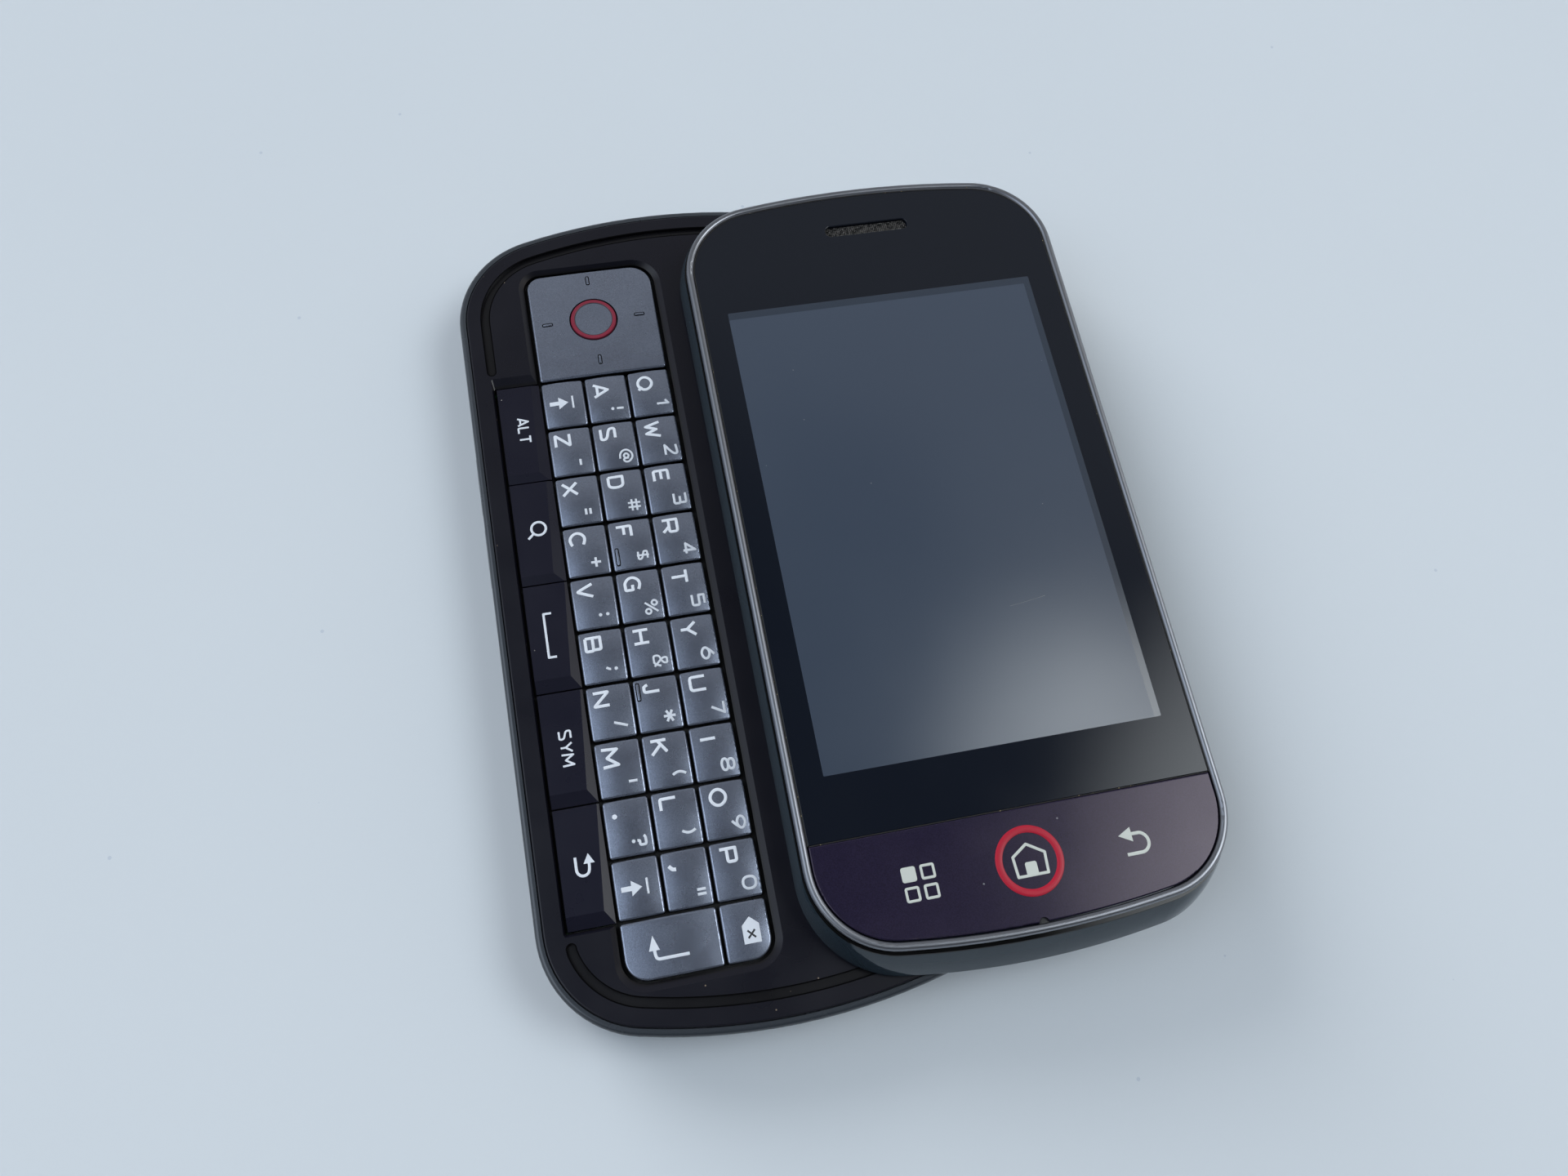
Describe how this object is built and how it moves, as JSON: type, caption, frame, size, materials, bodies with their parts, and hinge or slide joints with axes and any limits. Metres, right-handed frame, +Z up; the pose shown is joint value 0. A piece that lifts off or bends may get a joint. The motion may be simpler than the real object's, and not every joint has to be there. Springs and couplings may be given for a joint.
{
  "type": "slider phone",
  "caption": "Sideways slider phone shown open: a glass touch screen half on rails over a keyboard half with letter keys, a direction pad and side buttons.",
  "frame": {"origin": "middle of the keyboard half's flat back, where the phone rests", "axes": "+Z up out of the screen, +Y towards the earpiece end, +X the way the screen half slides open"},
  "size_m": [0.0863, 0.1148, 0.0156],
  "materials": {
    "shell_paint": "gunmetal paint, semi-gloss",
    "soft_black": "soft-touch black",
    "battery_wrap": "aluminium can in a printed plastic wrap",
    "soft_purple": "soft-touch, near-black purple",
    "steel": "plain steel",
    "board_green": "solder mask with steel cans",
    "silicone": "matt silicone",
    "black_plastic": "moulded black",
    "housing_paint": "gunmetal metallic paint, glossy",
    "plate_alloy": "stamped plate",
    "bezel_chrome": "dark chrome with worn edges",
    "lens_black": "clear glass with a black printed border",
    "lcd_dark": "switched-off display",
    "front_plate": "satin dark purple-grey",
    "key_silver": "satin silver-grey paint",
    "key_dark": "satin near-black purple"
  },
  "bodies": {
    "base": {"base_shell": "shell_paint", "battery": "battery_wrap", "keyboard_deck": "soft_purple", "case_screws": "steel", "main_board": "board_green", "keypad_mat": "silicone", "camera_module": "black_plastic", "loudspeaker": "black_plastic", "usb_socket": "steel", "headphone_jack": "black_plastic", "slide_track": "steel"},
    "battery_door": {"battery_door": "soft_black"},
    "slab": {"slab_housing": "housing_paint", "slide_carriage": "plate_alloy", "slab_bezel": "bezel_chrome", "touch_glass": "lens_black", "lcd_panel": "lcd_dark"},
    "volume_rocker": {"volume_rocker": "shell_paint"},
    "camera_button": {"camera_button": "shell_paint"},
    "lock_button": {"lock_button": "shell_paint"},
    "direction_pad": {"direction_pad": "key_silver"},
    "select_button": {"select_button": "key_silver"},
    "front_keys": {"front_key_plate": "front_plate"},
    "key_q": {"key_q": "key_silver"},
    "key_w": {"key_w": "key_silver"},
    "key_e": {"key_e": "key_silver"},
    "key_r": {"key_r": "key_silver"},
    "key_t": {"key_t": "key_silver"},
    "key_y": {"key_y": "key_silver"},
    "key_u": {"key_u": "key_silver"},
    "key_i": {"key_i": "key_silver"},
    "key_o": {"key_o": "key_silver"},
    "key_p": {"key_p": "key_silver"},
    "key_a": {"key_a": "key_silver"},
    "key_s": {"key_s": "key_silver"},
    "key_d": {"key_d": "key_silver"},
    "key_f": {"key_f": "key_silver"},
    "key_g": {"key_g": "key_silver"},
    "key_h": {"key_h": "key_silver"},
    "key_j": {"key_j": "key_silver"},
    "key_k": {"key_k": "key_silver"},
    "key_l": {"key_l": "key_silver"},
    "key_comma": {"key_comma": "key_silver"},
    "key_shift_left": {"key_shift_left": "key_silver"},
    "key_z": {"key_z": "key_silver"},
    "key_x": {"key_x": "key_silver"},
    "key_c": {"key_c": "key_silver"},
    "key_v": {"key_v": "key_silver"},
    "key_b": {"key_b": "key_silver"},
    "key_n": {"key_n": "key_silver"},
    "key_m": {"key_m": "key_silver"},
    "key_period": {"key_period": "key_silver"},
    "key_shift_right": {"key_shift_right": "key_silver"},
    "key_enter": {"key_enter": "key_silver"},
    "key_delete": {"key_delete": "key_silver"},
    "key_alt": {"key_alt": "key_dark"},
    "key_search": {"key_search": "key_dark"},
    "key_space": {"key_space": "key_dark"},
    "key_symbol": {"key_symbol": "key_dark"},
    "key_back": {"key_back": "key_dark"}
  },
  "joints": [
    {"name": "slab_slide", "type": "slide", "parent": "base", "child": "slab", "axis": [1, 0, 0], "range_m": [-0.0296, 0]},
    {"name": "battery_door_slide", "type": "slide", "parent": "base", "child": "battery_door", "axis": [0, -1, 0], "range_m": [0, 0.04]},
    {"name": "camera_button_press", "type": "slide", "parent": "base", "child": "camera_button", "axis": [-1, 0, 0], "range_m": [0, 0.0003], "stiffness_N_per_m": 4000},
    {"name": "lock_button_press", "type": "slide", "parent": "base", "child": "lock_button", "axis": [-1, 0, 0], "range_m": [0, 0.0003], "stiffness_N_per_m": 4000},
    {"name": "volume_rocker_tilt", "type": "hinge", "parent": "base", "child": "volume_rocker", "pos_m": [-0.027, 0.0132, 0.0049], "axis": [0, 0, 1], "range_deg": [-1.3, 1.3], "stiffness_Nm_per_rad": 0.25},
    {"name": "direction_pad_tilt", "type": "hinge", "parent": "base", "child": "direction_pad", "pos_m": [-0.01045, 0.04036, 0.008], "axis": [1, 0, 0], "range_deg": [-1.3, 1.3], "stiffness_Nm_per_rad": 0.25, "deforming": ["keypad_mat"]},
    {"name": "select_button_press", "type": "slide", "parent": "direction_pad", "child": "select_button", "axis": [0, 0, -1], "range_m": [0, 0.00025], "stiffness_N_per_m": 4000, "deforming": ["keypad_mat"]},
    {"name": "key_q_press", "type": "slide", "parent": "base", "child": "key_q", "axis": [0, 0, -1], "range_m": [0, 0.00025], "stiffness_N_per_m": 4000, "deforming": ["keypad_mat"]},
    {"name": "key_w_press", "type": "slide", "parent": "base", "child": "key_w", "axis": [0, 0, -1], "range_m": [0, 0.00025], "stiffness_N_per_m": 4000, "deforming": ["keypad_mat"]},
    {"name": "key_e_press", "type": "slide", "parent": "base", "child": "key_e", "axis": [0, 0, -1], "range_m": [0, 0.00025], "stiffness_N_per_m": 4000, "deforming": ["keypad_mat"]},
    {"name": "key_r_press", "type": "slide", "parent": "base", "child": "key_r", "axis": [0, 0, -1], "range_m": [0, 0.00025], "stiffness_N_per_m": 4000, "deforming": ["keypad_mat"]},
    {"name": "key_t_press", "type": "slide", "parent": "base", "child": "key_t", "axis": [0, 0, -1], "range_m": [0, 0.00025], "stiffness_N_per_m": 4000, "deforming": ["keypad_mat"]},
    {"name": "key_y_press", "type": "slide", "parent": "base", "child": "key_y", "axis": [0, 0, -1], "range_m": [0, 0.00025], "stiffness_N_per_m": 4000, "deforming": ["keypad_mat"]},
    {"name": "key_u_press", "type": "slide", "parent": "base", "child": "key_u", "axis": [0, 0, -1], "range_m": [0, 0.00025], "stiffness_N_per_m": 4000, "deforming": ["keypad_mat"]},
    {"name": "key_i_press", "type": "slide", "parent": "base", "child": "key_i", "axis": [0, 0, -1], "range_m": [0, 0.00025], "stiffness_N_per_m": 4000, "deforming": ["keypad_mat"]},
    {"name": "key_o_press", "type": "slide", "parent": "base", "child": "key_o", "axis": [0, 0, -1], "range_m": [0, 0.00025], "stiffness_N_per_m": 4000, "deforming": ["keypad_mat"]},
    {"name": "key_p_press", "type": "slide", "parent": "base", "child": "key_p", "axis": [0, 0, -1], "range_m": [0, 0.00025], "stiffness_N_per_m": 4000, "deforming": ["keypad_mat"]},
    {"name": "key_a_press", "type": "slide", "parent": "base", "child": "key_a", "axis": [0, 0, -1], "range_m": [0, 0.00025], "stiffness_N_per_m": 4000, "deforming": ["keypad_mat"]},
    {"name": "key_s_press", "type": "slide", "parent": "base", "child": "key_s", "axis": [0, 0, -1], "range_m": [0, 0.00025], "stiffness_N_per_m": 4000, "deforming": ["keypad_mat"]},
    {"name": "key_d_press", "type": "slide", "parent": "base", "child": "key_d", "axis": [0, 0, -1], "range_m": [0, 0.00025], "stiffness_N_per_m": 4000, "deforming": ["keypad_mat"]},
    {"name": "key_f_press", "type": "slide", "parent": "base", "child": "key_f", "axis": [0, 0, -1], "range_m": [0, 0.00025], "stiffness_N_per_m": 4000, "deforming": ["keypad_mat"]},
    {"name": "key_g_press", "type": "slide", "parent": "base", "child": "key_g", "axis": [0, 0, -1], "range_m": [0, 0.00025], "stiffness_N_per_m": 4000, "deforming": ["keypad_mat"]},
    {"name": "key_h_press", "type": "slide", "parent": "base", "child": "key_h", "axis": [0, 0, -1], "range_m": [0, 0.00025], "stiffness_N_per_m": 4000, "deforming": ["keypad_mat"]},
    {"name": "key_j_press", "type": "slide", "parent": "base", "child": "key_j", "axis": [0, 0, -1], "range_m": [0, 0.00025], "stiffness_N_per_m": 4000, "deforming": ["keypad_mat"]},
    {"name": "key_k_press", "type": "slide", "parent": "base", "child": "key_k", "axis": [0, 0, -1], "range_m": [0, 0.00025], "stiffness_N_per_m": 4000, "deforming": ["keypad_mat"]},
    {"name": "key_l_press", "type": "slide", "parent": "base", "child": "key_l", "axis": [0, 0, -1], "range_m": [0, 0.00025], "stiffness_N_per_m": 4000, "deforming": ["keypad_mat"]},
    {"name": "key_comma_press", "type": "slide", "parent": "base", "child": "key_comma", "axis": [0, 0, -1], "range_m": [0, 0.00025], "stiffness_N_per_m": 4000, "deforming": ["keypad_mat"]},
    {"name": "key_shift_left_press", "type": "slide", "parent": "base", "child": "key_shift_left", "axis": [0, 0, -1], "range_m": [0, 0.00025], "stiffness_N_per_m": 4000, "deforming": ["keypad_mat"]},
    {"name": "key_z_press", "type": "slide", "parent": "base", "child": "key_z", "axis": [0, 0, -1], "range_m": [0, 0.00025], "stiffness_N_per_m": 4000, "deforming": ["keypad_mat"]},
    {"name": "key_x_press", "type": "slide", "parent": "base", "child": "key_x", "axis": [0, 0, -1], "range_m": [0, 0.00025], "stiffness_N_per_m": 4000, "deforming": ["keypad_mat"]},
    {"name": "key_c_press", "type": "slide", "parent": "base", "child": "key_c", "axis": [0, 0, -1], "range_m": [0, 0.00025], "stiffness_N_per_m": 4000, "deforming": ["keypad_mat"]},
    {"name": "key_v_press", "type": "slide", "parent": "base", "child": "key_v", "axis": [0, 0, -1], "range_m": [0, 0.00025], "stiffness_N_per_m": 4000, "deforming": ["keypad_mat"]},
    {"name": "key_b_press", "type": "slide", "parent": "base", "child": "key_b", "axis": [0, 0, -1], "range_m": [0, 0.00025], "stiffness_N_per_m": 4000, "deforming": ["keypad_mat"]},
    {"name": "key_n_press", "type": "slide", "parent": "base", "child": "key_n", "axis": [0, 0, -1], "range_m": [0, 0.00025], "stiffness_N_per_m": 4000, "deforming": ["keypad_mat"]},
    {"name": "key_m_press", "type": "slide", "parent": "base", "child": "key_m", "axis": [0, 0, -1], "range_m": [0, 0.00025], "stiffness_N_per_m": 4000, "deforming": ["keypad_mat"]},
    {"name": "key_period_press", "type": "slide", "parent": "base", "child": "key_period", "axis": [0, 0, -1], "range_m": [0, 0.00025], "stiffness_N_per_m": 4000, "deforming": ["keypad_mat"]},
    {"name": "key_shift_right_press", "type": "slide", "parent": "base", "child": "key_shift_right", "axis": [0, 0, -1], "range_m": [0, 0.00025], "stiffness_N_per_m": 4000, "deforming": ["keypad_mat"]},
    {"name": "key_enter_press", "type": "slide", "parent": "base", "child": "key_enter", "axis": [0, 0, -1], "range_m": [0, 0.00025], "stiffness_N_per_m": 4000, "deforming": ["keypad_mat"]},
    {"name": "key_delete_press", "type": "slide", "parent": "base", "child": "key_delete", "axis": [0, 0, -1], "range_m": [0, 0.00025], "stiffness_N_per_m": 4000, "deforming": ["keypad_mat"]},
    {"name": "key_alt_press", "type": "slide", "parent": "base", "child": "key_alt", "axis": [0, 0, -1], "range_m": [0, 0.00025], "stiffness_N_per_m": 4000, "deforming": ["keypad_mat"]},
    {"name": "key_search_press", "type": "slide", "parent": "base", "child": "key_search", "axis": [0, 0, -1], "range_m": [0, 0.00025], "stiffness_N_per_m": 4000, "deforming": ["keypad_mat"]},
    {"name": "key_space_press", "type": "slide", "parent": "base", "child": "key_space", "axis": [0, 0, -1], "range_m": [0, 0.00025], "stiffness_N_per_m": 4000, "deforming": ["keypad_mat"]},
    {"name": "key_symbol_press", "type": "slide", "parent": "base", "child": "key_symbol", "axis": [0, 0, -1], "range_m": [0, 0.00025], "stiffness_N_per_m": 4000, "deforming": ["keypad_mat"]},
    {"name": "key_back_press", "type": "slide", "parent": "base", "child": "key_back", "axis": [0, 0, -1], "range_m": [0, 0.00025], "stiffness_N_per_m": 4000, "deforming": ["keypad_mat"]},
    {"name": "front_keys_press", "type": "slide", "parent": "slab", "child": "front_keys", "axis": [0, 0, -1], "range_m": [0, 0.00025], "stiffness_N_per_m": 4000}
  ]
}
